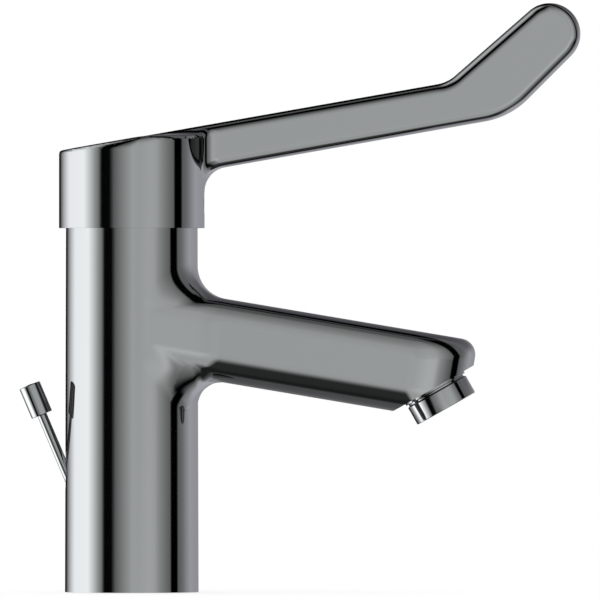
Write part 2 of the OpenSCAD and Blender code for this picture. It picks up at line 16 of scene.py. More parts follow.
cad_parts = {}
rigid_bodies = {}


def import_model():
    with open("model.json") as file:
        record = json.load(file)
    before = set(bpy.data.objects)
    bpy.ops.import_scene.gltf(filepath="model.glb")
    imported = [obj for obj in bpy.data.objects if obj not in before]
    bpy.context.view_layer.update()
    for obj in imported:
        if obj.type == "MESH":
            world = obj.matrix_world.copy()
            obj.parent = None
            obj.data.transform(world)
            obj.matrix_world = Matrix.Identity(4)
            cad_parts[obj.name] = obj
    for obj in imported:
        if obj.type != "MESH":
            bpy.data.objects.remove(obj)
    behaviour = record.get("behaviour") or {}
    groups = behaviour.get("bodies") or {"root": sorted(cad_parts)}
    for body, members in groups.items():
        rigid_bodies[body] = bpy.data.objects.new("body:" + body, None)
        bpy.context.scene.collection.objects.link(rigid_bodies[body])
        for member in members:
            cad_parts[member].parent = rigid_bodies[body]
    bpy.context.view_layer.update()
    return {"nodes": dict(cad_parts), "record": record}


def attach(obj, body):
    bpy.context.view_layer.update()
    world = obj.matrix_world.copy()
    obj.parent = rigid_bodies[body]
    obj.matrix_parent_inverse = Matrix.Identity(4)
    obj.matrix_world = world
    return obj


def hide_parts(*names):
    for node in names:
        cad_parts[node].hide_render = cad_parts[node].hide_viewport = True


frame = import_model()
nodes = frame["nodes"]

# %% [markdown]
# ## Shapes as distances
# A casting such as this is a few plain bodies that melt into each other. The simplest way to say so is a
# distance field: a function that is negative inside the metal and positive outside. Rounded corners and
# filled corners are then one formula each. A ball of radius r that rolls in a corner leaves exactly the
# hollow of `fill_corner`, whatever the angle between the two faces. Blender counts in metres, but tap
# makers think in millimetres, and so do the formulas below.

# %% Corners of distance fields
MM = 0.001
TINY = 1e-5
NO_SLOPE = 1e-12
SLOPE_STEP = 0.02


def length(*parts):
    return np.sqrt(sum(part * part for part in parts))


def round_corner(a, b, r):
    """What lies within both a and b, with their common edge rounded to radius r."""
    inner = np.minimum(np.maximum(a, b) + r, 0)
    return inner + length(np.maximum(a + r, 0), np.maximum(b + r, 0)) - r


def fill_corner(a, b, cosine, r):
    """What lies within a or b, with a hollow of radius r; cosine is that of their normals' angle."""
    u, v = r - a, r - b
    sine2 = 1 - cosine * cosine
    meets = (u > 0) & (v > 0) & (v > u * cosine) & (u > v * cosine)
    reach = np.sqrt(np.maximum(u * u + v * v - 2 * u * v * cosine, 0) / np.maximum(sine2, TINY))
    return np.where(meets, r - reach, np.minimum(a, b))


print("a square corner of two flat faces, filled:", fill_corner(0.0, 0.0, 0.0, 10.0))

# %% Slopes of fields, and two bodies that melt together


def slopes(field, p):
    """Unit normals of a field at the points p, from small steps each way."""
    n = np.empty_like(p)
    for k in range(3):
        d = np.zeros(3)
        d[k] = SLOPE_STEP
        n[:, k] = field(p + d) - field(p - d)
    return n / np.maximum(np.linalg.norm(n, axis=1, keepdims=True), NO_SLOPE)


def melt(first, second, radius, start):
    """The first body with the second from x = start on, and a hollow between them.

    The hollow's radius is a function of place and of the second's normal.
    """

    def field(p):
        na, nb = slopes(first, p), slopes(second, p)
        both = fill_corner(first(p), second(p), (na * nb).sum(1), radius(p, nb))
        return np.where(p[:, 0] > start, both, first(p))

    return field


print("slope of a level plane:", slopes(lambda p: p[:, 2], np.zeros((1, 3)))[0])

# %% [markdown]
# ## Column and spout
# On the real tap these are one brass casting. The column is a slim cone. The spout is a flat bar with an
# oval end in plan, and its sides spread where they leave the column. Its long edges are rounder than its
# tip, as the reflections in the photograph show. Bevels on two joined meshes would leave creases in the
# hollow between them, so both are fields. The names of the measures follow the drawing of the part, and
# each slope leans about the Y axis.

# %% Measures of column and spout, in millimetres
COLUMN_FOOT_R = 24.05
COLUMN_TOP_R = 23.7
SEAM_Z = 131.0
SPOUT_HALF_W = 19.0
SPOUT_HALF_H = 14.9
SPOUT_SLOPE = math.radians(9.55)
SPOUT_ROOT_Z = 96.1
SPOUT_END = 100.8
SPOUT_TIP_L = 23.0
SPOUT_TIP_CORE_R = 1.0
SPOUT_EDGE_R = 9.6
SPOUT_TIP_EDGE_R = 5.8
FLARE_R = 45.0
FLARE_ANGLE = math.radians(10.5)
print("the spout reaches", SPOUT_END + SPOUT_TIP_L, "mm along its slope")

# %% The body's field


def column_field(p):
    r = COLUMN_FOOT_R + (COLUMN_TOP_R - COLUMN_FOOT_R) * p[:, 2] / SEAM_Z
    return length(p[:, 0], p[:, 1]) - r


def side_field(x, y):
    """The spout's sides in plan: they leave the column along a tangent, then bend to run straight."""
    tangent = x * math.sin(FLARE_ANGLE) + y * math.cos(FLARE_ANGLE) - COLUMN_TOP_R
    return fill_corner(y - SPOUT_HALF_W, tangent, math.cos(FLARE_ANGLE), FLARE_R)


def spout_field(p):
    x, y, z = p[:, 0], p[:, 1], p[:, 2] - SPOUT_ROOT_Z
    along = x * math.cos(SPOUT_SLOPE) - z * math.sin(SPOUT_SLOPE) - SPOUT_END
    up = x * math.sin(SPOUT_SLOPE) + z * math.cos(SPOUT_SLOPE)
    ahead = np.maximum(along, 0)
    around = length(ahead / SPOUT_TIP_L, y / SPOUT_HALF_W)
    steep = length(ahead / SPOUT_TIP_L**2, y / SPOUT_HALF_W**2)
    oval = (around - 1) * around / np.maximum(steep, TINY)
    plan = np.where(along > 0, oval, side_field(x, np.abs(y)))
    tip = (ahead / np.maximum(length(ahead, y), SPOUT_TIP_CORE_R)) ** 2
    edge = SPOUT_EDGE_R + (SPOUT_TIP_EDGE_R - SPOUT_EDGE_R) * tip
    return round_corner(plan, np.abs(up) - SPOUT_HALF_H, edge)


BLEND_TOP_R = 12.0
BLEND_LOW_R = 8.3
BLEND_SIDE_R = 14.5
BLEND_TURN = 1.5


def body_blend(p, normal):
    """The hollow is wider on top than below, and widens towards the sides."""
    share = 0.5 + 0.5 * np.clip(normal[:, 2] * BLEND_TURN, -1, 1)
    aside = (p[:, 1] / SPOUT_HALF_W) ** 2
    middle = BLEND_LOW_R + (BLEND_TOP_R - BLEND_LOW_R) * share
    return middle + (BLEND_SIDE_R - middle) * np.minimum(aside, 1)


body_field = melt(column_field, spout_field, body_blend, COLUMN_TOP_R * math.sin(FLARE_ANGLE))
print("depth of the column's axis in the metal, in mm:", -column_field(np.zeros((1, 3)))[0])

# %% [markdown]
# ## Cap and handle
# The lever is one casting too. The handle is an outline in the plane of the lever, with rounded edges: its
# upper line bends up in a hollow, its lower line in a wide round. The cap is a drum with a sloping top
# that ends in a level shoulder on the handle's side. Towards its two sides the top sinks a little and its
# edge grows rounder, which is what bends the reflections there. An extruded outline with a bevel would
# make the handle, but not the hollow where it grows out of the cap.

# %% Measures of cap and handle, in millimetres
CAP_R = 26.2
CAP_EDGE_R = 1.0
CAP_SIDE_EDGE_R = 3.0
CAP_SINK = 0.6
CAP_SIDE_POWER = 8
CAP_TOP_Z = 163.4
SHOULDER_Z = 164.3
SHOULDER_BEND_R = 50.0
LEVER_RISE = 10
LEVER_SLOPE = math.radians(LEVER_RISE)
HANDLE_T = 8.0
HANDLE_EDGE_R = 3.9
# Each line is given by the x and z of a point on it, and its rise in degrees
UPPER_LINES = ((0, CAP_TOP_Z, LEVER_RISE), (114.05, 183.78, 41.2))
LOWER_LINES = ((0, 146.95, LEVER_RISE), (136.08, 170.9, 45))
UPPER_BEND_R = 13.0
LOWER_BEND_R = 29.0
TIP_X = 150.45
TIP_Z = 200.95
TIP_R = 11.05
TIP_LEAN = math.radians(43.1)
print("the lever reaches", TIP_X + TIP_R, "mm from the axis")

# %% The lever's field


def above(line, x, z):
    """Signed distance above a line."""
    line_x, line_z, rise = line
    a = math.radians(rise)
    return (z - line_z) * math.cos(a) - (x - line_x) * math.sin(a)


def bend(lines, x, z, r):
    first, second = lines
    cosine = math.cos(math.radians(second[2] - first[2]))
    return fill_corner(above(first, x, z), above(second, x, z), cosine, r)


def handle_field(p):
    x, y, z = p.T
    strip = np.maximum(bend(UPPER_LINES, x, z, UPPER_BEND_R), -bend(LOWER_LINES, x, z, LOWER_BEND_R))
    past = (x - TIP_X) * math.cos(TIP_LEAN) + (z - TIP_Z) * math.sin(TIP_LEAN)
    outline = np.where(past > 0, length(x - TIP_X, z - TIP_Z) - TIP_R, strip)
    return round_corner(outline, np.abs(y) - HANDLE_T / 2, HANDLE_EDGE_R)


def cap_field(p):
    x, y, z = p.T
    side = length(x, y) - CAP_R
    slope = above(UPPER_LINES[0], x, z)
    top = -fill_corner(-slope, SHOULDER_Z - z, math.cos(LEVER_SLOPE), SHOULDER_BEND_R)
    aside = np.minimum(np.abs(y) / CAP_R, 1) ** CAP_SIDE_POWER
    edge = CAP_EDGE_R + (CAP_SIDE_EDGE_R - CAP_EDGE_R) * aside
    return round_corner(side, top + CAP_SINK * aside, edge)


SIDE_THROAT_R = 6.2
LOW_THROAT_R = 9.0


def throat(_, normal):
    """The hollow at the handle's root is wider below than beside it."""
    return SIDE_THROAT_R + (LOW_THROAT_R - SIDE_THROAT_R) * np.clip(-normal[:, 2], 0, 1)


lever_field = melt(cap_field, handle_field, throat, 0)
print("the lever's tip, in mm from the surface:", handle_field(np.array([[TIP_X + TIP_R, 0, TIP_Z]]))[0])

# %% [markdown]
# ## From a field to a skin
# A grid of cubes is laid over the shape. Each cube that the surface crosses gets one vertex, and each
# grid edge that it crosses gets one face. The vertices then slide along the field's slope until they
# lie on the surface, and are evened out a little in between. Blender's own remesher would need a mesh to
# start from, and this way the skin lies exactly on its formula.

# %% Vertices that settle on a surface
EVEN_SHARE = 0.5


def settle(field, p, rounds=3):
    """Each vertex slides along the field's slope to the surface."""
    for _ in range(rounds):
        p = p - field(p)[:, None] * slopes(field, p)
    return p


def even_out(p, quads):
    """Each vertex moves part of the way to the middle of its neighbours."""
    total = np.zeros_like(p)
    count = np.zeros(len(p))
    for a, b in ((0, 1), (1, 2), (2, 3), (3, 0)):
        for s, t in ((a, b), (b, a)):
            np.add.at(total, quads[:, s], p[quads[:, t]])
            np.add.at(count, quads[:, s], 1)
    return p + EVEN_SHARE * (total / count[:, None] - p)


print("a point inside the foot settles at", settle(column_field, np.array([[COLUMN_TOP_R, 0, 0]]))[0])

# %% The net of faces
CORNERS = [(i, j, k) for i in (0, 1) for j in (0, 1) for k in (0, 1)]
EVEN_ROUNDS = 6


def skin(rough_field, field, low, high, step):
    """Vertices and quads on the zero surface of field; rough_field only finds the cubes."""
    axes = [np.arange(a, b + step, step) for a, b in zip(low, high)]
    shape = tuple(len(a) for a in axes)
    grid = np.stack(np.meshgrid(*axes, indexing="ij"), -1).reshape(-1, 3)
    inside = (rough_field(grid) < 0).reshape(shape)
    cells = tuple(n - 1 for n in shape)
    count = sum(
        inside[i : i + cells[0], j : j + cells[1], k : k + cells[2]].astype(int)
        for i, j, k in CORNERS
    )
    used = (count > 0) & (count < len(CORNERS))
    number = np.full(cells, -1)
    number[used] = np.arange(used.sum())
    p = np.array(low) + (np.argwhere(used) + 0.5) * step
    quads = []
    for axis in range(3):
        here = np.moveaxis(inside, axis, 0)
        crossed = np.argwhere(here[:-1] != here[1:])
        starts_in = here[:-1][tuple(crossed.T)]
        index = np.moveaxis(number, axis, 0)
        a, b, c = crossed.T
        ring = np.stack([index[a, b + i, c + j] for i, j in ((-1, -1), (0, -1), (0, 0), (-1, 0))], 1)
        # With the middle axis in front the other two come in mirrored order, so its faces turn over
        flip = starts_in if axis != 1 else ~starts_in
        quads.append(np.where(flip[:, None], ring, ring[:, ::-1]))
    quads = np.concatenate(quads)
    p = settle(field, p)
    for _ in range(EVEN_ROUNDS):
        p = settle(field, even_out(p, quads), 1)
    return settle(field, p), quads


print("corners of a cube:", len(CORNERS))

# %% The two castings
# Past the real ends the fields are closed by level planes, and the cutters take the rest off
BODY_ENDS = (-4, 140)
BODY_GRID = ((-26, -26, -6), (128, 26, 142))
BODY_STEP = 1.0
LEVER_ENDS = (124, 300)
LEVER_GRID = ((-28, -28, 122), (164, 28, 215))
LEVER_STEP = 0.8


def add_object(name, mesh):
    piece = bpy.data.objects.new(name, mesh)
    bpy.context.scene.collection.objects.link(piece)
    return piece


def capped(field, low, high):
    return lambda p: np.maximum(field(p), np.maximum(low - p[:, 2], p[:, 2] - high))


def casting(name, first, second, field, ends, grid, step):
    """The skin of a field that melts the first and the second body together."""

    def plain(p):
        return np.where(p[:, 0] > 0, np.minimum(first(p), second(p)), first(p))

    points, quads = skin(capped(plain, *ends), capped(field, *ends), *grid, step)
    mesh = bpy.data.meshes.new(name)
    mesh.from_pydata((points * MM).tolist(), [], quads.tolist())
    mesh.update()
    return add_object(name, mesh)


body = casting("body_skin", column_field, spout_field, body_field, BODY_ENDS, BODY_GRID, BODY_STEP)
lever = casting("lever_skin", cap_field, handle_field, lever_field, LEVER_ENDS, LEVER_GRID, LEVER_STEP)
print("skins:", len(body.data.polygons), "and", len(lever.data.polygons), "faces")

# %% [markdown]
# ## Cutters
# Bores, sockets and the flat ends are cut with exact tools, as a machinist would after casting. They
# could be in the fields too, but the grid would chip their sharp edges. Each cutter is a turned profile
# or a block. They are carried to their places by the same frames as in the part's drawing: up the column,
# along the spout, square to the outlet and along the lift rod.

# %% Frames of the drawing
OUTLET_SLANT = math.radians(39.05)
OUTLET_X = 111.2
OUTLET_DROP = 4.1
ROD_EXIT = (-23.93, 0, 44)
ROD_LEAN = math.radians(22.95)
PIVOT_Z = 126.5
STEM_LEAN = math.radians(12.5)
SCREW_Z = 139.9


def lean(angle, origin):
    return Matrix.Translation(Vector(origin)) @ Matrix.Rotation(angle, 4, "Y")


SPOUT_FRAME = lean(SPOUT_SLOPE, (0, 0, SPOUT_ROOT_Z))
OUTLET_FRAME = SPOUT_FRAME @ lean(math.pi - OUTLET_SLANT, (OUTLET_X, 0, -OUTLET_DROP))
ROD_FRAME = lean(-ROD_LEAN, ROD_EXIT)
STEM_FRAME = lean(STEM_LEAN, (0, 0, PIVOT_Z))
SCREW_FRAME = lean(math.pi / 2, (0, 0, SCREW_Z))
print("the outlet points to", [round(v, 3) for v in OUTLET_FRAME.col[2][:3]])

# %% Turned tools
TURNS = 128
NO_MOVE = Matrix.Identity(4)


def turned(name, profile, place=NO_MOVE):
    """A closed turned piece; profile lists (radius, height), its ends may lie on the axis."""
    rings, points = [], []
    for r, h in profile:
        if r == 0:
            rings.append([len(points)] * TURNS)
            points.append((0, 0, h))
            continue
        rings.append(list(range(len(points), len(points) + TURNS)))
        for i in range(TURNS):
            a = 2 * math.pi * i / TURNS
            points.append((r * math.cos(a), r * math.sin(a), h))
    faces = []
    closed = profile[0][0] > 0
    pairs = list(zip(rings, rings[1:])) + ([(rings[-1], rings[0])] if closed else [])
    for low, high in pairs:
        for i in range(TURNS):
            j = (i + 1) % TURNS
            loop = [low[i], low[j], high[j], high[i]]
            face = [v for k, v in enumerate(loop) if v != loop[k - 1]]
            if len(face) > 2:
                faces.append(face)
    mesh = bpy.data.meshes.new(name)
    mesh.from_pydata([(place @ Vector(p)) * MM for p in points], [], faces)
    repair = bmesh.new()
    repair.from_mesh(mesh)
    bmesh.ops.recalc_face_normals(repair, faces=repair.faces)
    repair.to_mesh(mesh)
    repair.free()
    return add_object(name, mesh)


def rod_tool(r, low, high, place=NO_MOVE):
    return turned("tool", [(0, low), (r, low), (r, high), (0, high)], place)


print("a turned tool has", TURNS, "sides")

# %% Blocks and cuts


def block(low, high, place=NO_MOVE):
    work = bmesh.new()
    bmesh.ops.create_cube(work, size=1)
    size = Vector(high) - Vector(low)
    middle = (Vector(high) + Vector(low)) / 2
    fitted = place @ Matrix.Translation(middle) @ Matrix.Diagonal((*size, 1))
    bmesh.ops.transform(work, verts=work.verts, matrix=fitted)
    mesh = bpy.data.meshes.new("block")
    bmesh.ops.scale(work, vec=(MM, MM, MM), verts=work.verts)
    work.to_mesh(mesh)
    work.free()
    return add_object("block", mesh)


def cut(piece, tools):
    """Cuts the tools off a piece, and removes them."""
    for tool in tools:
        step = piece.modifiers.new("step", "BOOLEAN")
        step.operation = "DIFFERENCE"
        step.solver = "MANIFOLD"
        step.object = tool
    flat = piece.evaluated_get(bpy.context.evaluated_depsgraph_get())
    mesh = bpy.data.meshes.new_from_object(flat)
    piece.modifiers.clear()
    piece.data = mesh
    for tool in tools:
        bpy.data.objects.remove(tool)


# %% Cut the body
BIG = 90
OVERRUN = 1
RIM_Z = 132.4
CHAMBER_R, CHAMBER_FLOOR_Z = 17.7, 94
NUT_BORE_R, NUT_BORE_Z = 19.5, 122.5
GROOVE_INNER_R, GROOVE_OUTER_R, GROOVE_DEPTH = 19.4, 22.6, 2
HOSE_X, HOSE_Y = 3.65, 6.32
HOSE_SOCKET_R, HOSE_SOCKET_L = 4.46, 14
FEED_R, FEED_TOP_Z = 2.3, 95
STUD_X, STUD_SOCKET_R, STUD_SOCKET_L = 13, 3.4, 22
OUTLET_BORE_R, OUTLET_BORE_L = 11.1, 8.8
ROD_WAY_R, ROD_WAY_L = 2.5, 60
GUIDE_BORE_R, GUIDE_BORE_L = 3.05, 14

groove = [
    (GROOVE_INNER_R, -OVERRUN), (GROOVE_OUTER_R, -OVERRUN),
    (GROOVE_OUTER_R, GROOVE_DEPTH), (GROOVE_INNER_R, GROOVE_DEPTH),
]
hose_tools = [
    rod_tool(r, -OVERRUN, top, Matrix.Translation((HOSE_X, side * HOSE_Y, 0)))
    for side in (-1, 1)
    for r, top in ((HOSE_SOCKET_R, HOSE_SOCKET_L), (FEED_R, FEED_TOP_Z))
]
cut(
    body,
    [
        block((-BIG, -BIG, -BIG), (BIG, BIG, 0)),
        block((-BIG, -BIG, RIM_Z), (BIG, BIG, RIM_Z + BIG)),
        block((-BIG, -BIG, 0), (BIG, BIG, BIG), OUTLET_FRAME),
        rod_tool(CHAMBER_R, CHAMBER_FLOOR_Z, RIM_Z + OVERRUN),
        rod_tool(NUT_BORE_R, NUT_BORE_Z, RIM_Z + OVERRUN),
        turned("tool", groove),
        *hose_tools,
        rod_tool(STUD_SOCKET_R, -OVERRUN, STUD_SOCKET_L, Matrix.Translation((STUD_X, 0, 0))),
        rod_tool(OUTLET_BORE_R, -OUTLET_BORE_L, OVERRUN, OUTLET_FRAME),
        rod_tool(ROD_WAY_R, -ROD_WAY_L, OVERRUN, ROD_FRAME),
        rod_tool(GUIDE_BORE_R, -GUIDE_BORE_L, GUIDE_BORE_L, ROD_FRAME),
    ],
)
print("body:", len(body.data.polygons), "faces after cutting")

# %% Cut the lever
CAP_BORE_R, CAP_BORE_TOP_Z = 24.5, 170
CAP_ROOF = 5.5
STEM_BOSS_R, STEM_BOSS_LOW, STEM_BOSS_HIGH = 8.2, 10.5, 60
SCREW_BOSS_R, SCREW_BOSS_LOW, SCREW_BOSS_HIGH = 4, 6, 12.5
STEM_HALF_W, STEM_SOCKET_LOW, STEM_SOCKET_HIGH = 4.05, 9.5, 25
SCREW_BORE_R, SCREW_BORE_L = 2.55, 14
PLUG_BORE_R, PLUG_BORE_LOW, PLUG_BORE_HIGH = 3.9, 22.5, 28

# The cap's hollow stops at a sloping roof and goes round the bosses of stem and screw
roof_plane = lean(-LEVER_SLOPE, (0, 0, CAP_TOP_Z - CAP_ROOF))
hollow = rod_tool(CAP_BORE_R, SEAM_Z - OVERRUN, CAP_BORE_TOP_Z)
cut(hollow, [block((-BIG, -BIG, 0), (BIG, BIG, BIG), roof_plane)])
cut(hollow, [rod_tool(STEM_BOSS_R, STEM_BOSS_LOW, STEM_BOSS_HIGH, STEM_FRAME)])
cut(hollow, [rod_tool(SCREW_BOSS_R, SCREW_BOSS_LOW, SCREW_BOSS_HIGH, SCREW_FRAME)])
stem_low = (-STEM_HALF_W, -STEM_HALF_W, STEM_SOCKET_LOW)
stem_high = (STEM_HALF_W, STEM_HALF_W, STEM_SOCKET_HIGH)
cut(
    lever,
    [
        block((-BIG, -BIG, 0), (BIG * 2, BIG, SEAM_Z)),
        hollow,
        block(stem_low, stem_high, STEM_FRAME),
        rod_tool(SCREW_BORE_R, 0, SCREW_BORE_L, SCREW_FRAME),
        rod_tool(PLUG_BORE_R, PLUG_BORE_LOW, PLUG_BORE_HIGH, SCREW_FRAME),
    ],
)
print("lever:", len(lever.data.polygons), "faces after cutting")

# %% [markdown]
# ## Normals
# After the cuts, the cast skin should shade by its formula and the machined faces by their own flatness.
# Faces on the field's surface get the formula's normals, so that reflections run as smoothly as on
# polished metal. The edge between the two kinds is marked sharp, and so is any other fold of more than
# 30 degrees.

# %% Shade the castings
SHARP_ANGLE = math.radians(30)
ON_SKIN = 0.03
SAME_WAY = 0.9


def shade(piece, field=None):
    mesh = piece.data
    mesh.polygons.foreach_set("use_smooth", [True] * len(mesh.polygons))
    work = bmesh.new()
    work.from_mesh(mesh)
    centres = np.array([f.calc_center_median() for f in work.faces]) / MM
    cast = np.zeros(len(work.faces), bool)
    if field:
        normals = np.array([f.normal for f in work.faces])
        along = (slopes(field, centres) * normals).sum(1)
        cast = (np.abs(field(centres)) < ON_SKIN) & (along > SAME_WAY)
    work.faces.ensure_lookup_table()
    for edge in work.edges:
        kinds = {bool(cast[f.index]) for f in edge.link_faces}
        fold = edge.calc_face_angle(0) > SHARP_ANGLE
        edge.smooth = len(kinds) == 1 and (True in kinds or not fold)
    work.to_mesh(mesh)
    work.free()
    if field:
        places = np.empty(len(mesh.vertices) * 3)
        mesh.vertices.foreach_get("co", places)
        normals = slopes(field, places.reshape(-1, 3) / MM)
        corner = np.zeros((len(mesh.loops), 3))
        owner = np.empty(len(mesh.loops), int)
        mesh.loops.foreach_get("vertex_index", owner)
        spans = np.repeat(cast, [p.loop_total for p in mesh.polygons])
        corner[spans] = normals[owner[spans]]
        mesh.normals_split_custom_set(corner.tolist())
    return int(cast.sum())


print("cast faces:", shade(body, body_field), shade(lever, lever_field))

# %% Hand the castings to their bodies
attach(body, "tap_body")
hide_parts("body")
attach(lever, "lever_part")
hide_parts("lever")
print("castings:", body.name, lever.name)

# %% [markdown]
# ## Turned pieces
# Aerator, ring, rod and knob come off a lathe, and their narrow chamfers are what catches the light. A
# screw modifier would turn a profile as well, but its corners would need a bevel of their own. Here a
# profile is written as corners, and each corner is eased by a small arc before the profile is turned.

# %% Profiles with eased corners
EASE_STEPS = 4


def eased(corners, r):
    """The corners of an open profile, each inner one replaced by a short arc of radius about r."""
    result = [corners[0]]
    for a, b, c in zip(corners, corners[1:], corners[2:]):
        middle = Vector(b)
        to_a, to_c = Vector(a) - middle, Vector(c) - middle
        reach = min(r, to_a.length / 2, to_c.length / 2)
        start, end = middle + to_a.normalized() * reach, middle + to_c.normalized() * reach
        for i in range(EASE_STEPS + 1):
            t = i / EASE_STEPS
            result.append(tuple(start * (1 - t) ** 2 + middle * 2 * t * (1 - t) + end * t * t))
    return result + [corners[-1]]


def turned_piece(name, corners, ease, place, body_name, node):
    piece = turned(name, eased(corners, ease), place)
    shade(piece)
    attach(piece, body_name)
    if node:
        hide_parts(node)
    return piece


print("points on an eased corner:", EASE_STEPS + 1)

# %% The aerator's sleeve and the ring round the outlet
# Heights are above the outlet's face; a closed profile ends one lead past its start
LEAD = 0.1
BORE_R, THREAD_R, NECK_R, COLLAR_R, LIP_R = 9.7, 11, 11.2, 11.9, 9
THREAD_END, NECK_TOP, FRONT, LIP_BACK = -7, 1.7, 8.7, 7.5
RING_BORE_R, RING_R, RING_BACK, RING_TOP = 11.15, 12.1, -2, 0.8
SLEEVE_EASE = 0.35
RING_EASE = 0.25
sleeve_corners = [
    (BORE_R, THREAD_END + LEAD), (THREAD_R - LEAD, THREAD_END), (THREAD_R, -LEAD), (THREAD_R, RING_TOP),
    (NECK_R, RING_TOP), (NECK_R, NECK_TOP), (COLLAR_R, NECK_TOP), (COLLAR_R, FRONT),
    (LIP_R, FRONT), (LIP_R, LIP_BACK), (BORE_R, LIP_BACK), (BORE_R, THREAD_END + 2 * LEAD),
]
ring_corners = [
    (RING_BORE_R, RING_BACK), (RING_R, RING_BACK), (RING_R, RING_TOP), (RING_BORE_R, RING_TOP),
    (RING_BORE_R, RING_BACK + LEAD),
]
aerator = turned_piece(
    "aerator_sleeve", sleeve_corners, SLEEVE_EASE, OUTLET_FRAME, "tap_body", "aerator_housing"
)
outlet_ring = turned_piece("outlet_ring", ring_corners, RING_EASE, OUTLET_FRAME, "tap_body", None)
print("turned:", aerator.name, outlet_ring.name)

# %% The lift rod and its knob
ROD_R, ROD_LOW, ROD_HIGH = 1.75, -44, 29.4
KNOB_R, KNOB_BORE_R = 3.95, 1.8
KNOB_FOOT, KNOB_BORE_END, KNOB_EDGE, KNOB_TOP = 21.5, 29.45, 33, 33.3
ROD_EASE = 0.3
knob_corners = [
    (0, KNOB_BORE_END), (KNOB_BORE_R, KNOB_BORE_END), (KNOB_BORE_R, KNOB_FOOT + LEAD),
    (KNOB_R, KNOB_FOOT), (KNOB_R, KNOB_EDGE), (0, KNOB_TOP),
]
rod_corners = [(0, ROD_LOW), (ROD_R, ROD_LOW), (ROD_R, ROD_HIGH), (0, ROD_HIGH)]
knob = turned_piece("knob", knob_corners, ROD_EASE, ROD_FRAME, "rod_part", "rod_knob")
rod = turned_piece("pull_rod", rod_corners, ROD_EASE, ROD_FRAME, "rod_part", "lift_rod")
print("turned:", knob.name, rod.name)

# %% [markdown]
# ## Shader maths
# Node trees are easier to read as sums. `Wire` stands for a socket and adds a Math node for each
# operator, and `Board.add` places any other node. A board is the tree of one material or of the world.

# %% Wires


class Wire:
    """A node's output that can be used in sums, as a number can."""

    def __init__(self, board, socket):
        self.board = board
        self.socket = socket

    def __add__(self, other):
        return self.board.maths("ADD", self, other)

    __radd__ = __add__

    def __mul__(self, other):
        return self.board.maths("MULTIPLY", self, other)

    __rmul__ = __mul__

    def __sub__(self, other):
        return self.board.maths("SUBTRACT", self, other)

    def __rsub__(self, other):
        return self.board.maths("SUBTRACT", other, self)

    def __abs__(self):
        return self.board.maths("ABSOLUTE", self)


print("wires can be added, subtracted and multiplied")

# %% Boards
NEW_STOP = 0.5


class Board:
    """A node tree with one way to place a node."""

    def __init__(self, tree):
        self.tree = tree
        tree.nodes.clear()

    def add(self, kind, settings=(), inputs=(), out=0):
        node = self.tree.nodes.new("ShaderNode" + kind)
        for name, value in dict(settings).items():
            if name != "stops":
                setattr(node, name, value)
                continue
            ramp = node.color_ramp.elements
            while len(ramp) < len(value):
                ramp.new(NEW_STOP)
            for stop, (place, colour) in zip(ramp, value):
                stop.position = place
                stop.color = (*colour, 1) if isinstance(colour, tuple) else (colour,) * 3 + (1,)
        for name, value in dict(inputs).items():
            if isinstance(value, Wire):
                self.tree.links.new(value.socket, node.inputs[name])
            else:
                node.inputs[name].default_value = value
        return Wire(self, node.outputs[out]) if node.outputs else node

    def maths(self, operation, *values):
        return self.add("Math", {"operation": operation}, dict(enumerate(values)))

    def ramp(self, value, stops):
        """Brightness, or colour, between stops of (place, value)."""
        return self.add("ValToRGB", {"stops": stops}, {"Fac": value})

    def soft(self, value, edge, start=0.0, end=1.0):
        """From start to end while the value crosses an edge, which is given by its two places."""
        low, high = edge
        return self.add(
            "MapRange",
            {"interpolation_type": "SMOOTHSTEP"},
            {"Value": value, "From Min": low, "From Max": high, "To Min": start, "To Max": end},
        )


def mixed(first, second, share):
    """From first to second, by share."""
    return first + share * (second - first)


print("half way from 2 to 4:", mixed(2, 4, 0.5))

# %% [markdown]
# ## Finishes
# Chrome on a well polished casting is almost a mirror. What tells it from a perfect one is a faint haze
# that varies over a few millimetres, so its roughness follows a soft noise. Inside, plain plastics,
# ceramic and rubber differ in gloss and grain. One maker serves them all, because they need the same few
# nodes with other numbers.

# %% Finish maker
HAZE = (0.3, 0.7)
HAZE_DETAIL = 3.0
SPECK_EDGE = (0.35, 0.65)
FINE_GRAIN = 12
FINE_DETAIL = 2.0
BUMP_DEPTH = 0.0002


def finish_of(name, colour, rough, grain, metal=0.0, bump=0.0, speck=0.0, gloss=0.5):
    """A material whose roughness, and colour by speck, follow a soft noise of grain waves a metre."""
    material = bpy.data.materials.new(name)
    material.use_nodes = True
    board = Board(material.node_tree)
    place = board.add("TexCoord", out="Object")
    noise = board.add("TexNoise", {}, {"Vector": place, "Scale": grain, "Detail": HAZE_DETAIL})
    inputs = {
        "Roughness": board.soft(noise, HAZE, *rough),
        "Metallic": metal,
        "Base Color": (*colour, 1),
        "Specular IOR Level": gloss,
    }
    if speck:
        darker = tuple(c * (1 - speck) for c in colour)
        inputs["Base Color"] = board.ramp(noise, list(zip(SPECK_EDGE, (darker, colour))))
    if bump:
        fine_scale = grain * FINE_GRAIN
        fine = board.add("TexNoise", {}, {"Vector": place, "Scale": fine_scale, "Detail": FINE_DETAIL})
        height = {"Height": fine, "Strength": bump, "Distance": BUMP_DEPTH}
        inputs["Normal"] = board.add("Bump", {}, height)
    board.add("OutputMaterial", {}, {"Surface": board.add("BsdfPrincipled", {}, inputs)})
    return material


print("fine grain is", FINE_GRAIN, "times as fine as the haze")

# %% Colours and roughness
CHROME = (0.80, 0.805, 0.815)
BLACK = (0.03, 0.03, 0.03)
WARM_WHITE = (0.8, 0.8, 0.77)
DARK_GREY = (0.09, 0.1, 0.12)
CERAMIC = (0.86, 0.84, 0.8)
BRASS = (0.78, 0.6, 0.28)
STEEL = (0.6, 0.6, 0.6)
DARK_LILAC = (0.035, 0.037, 0.06)
PALE_GREY = (0.62, 0.63, 0.65)
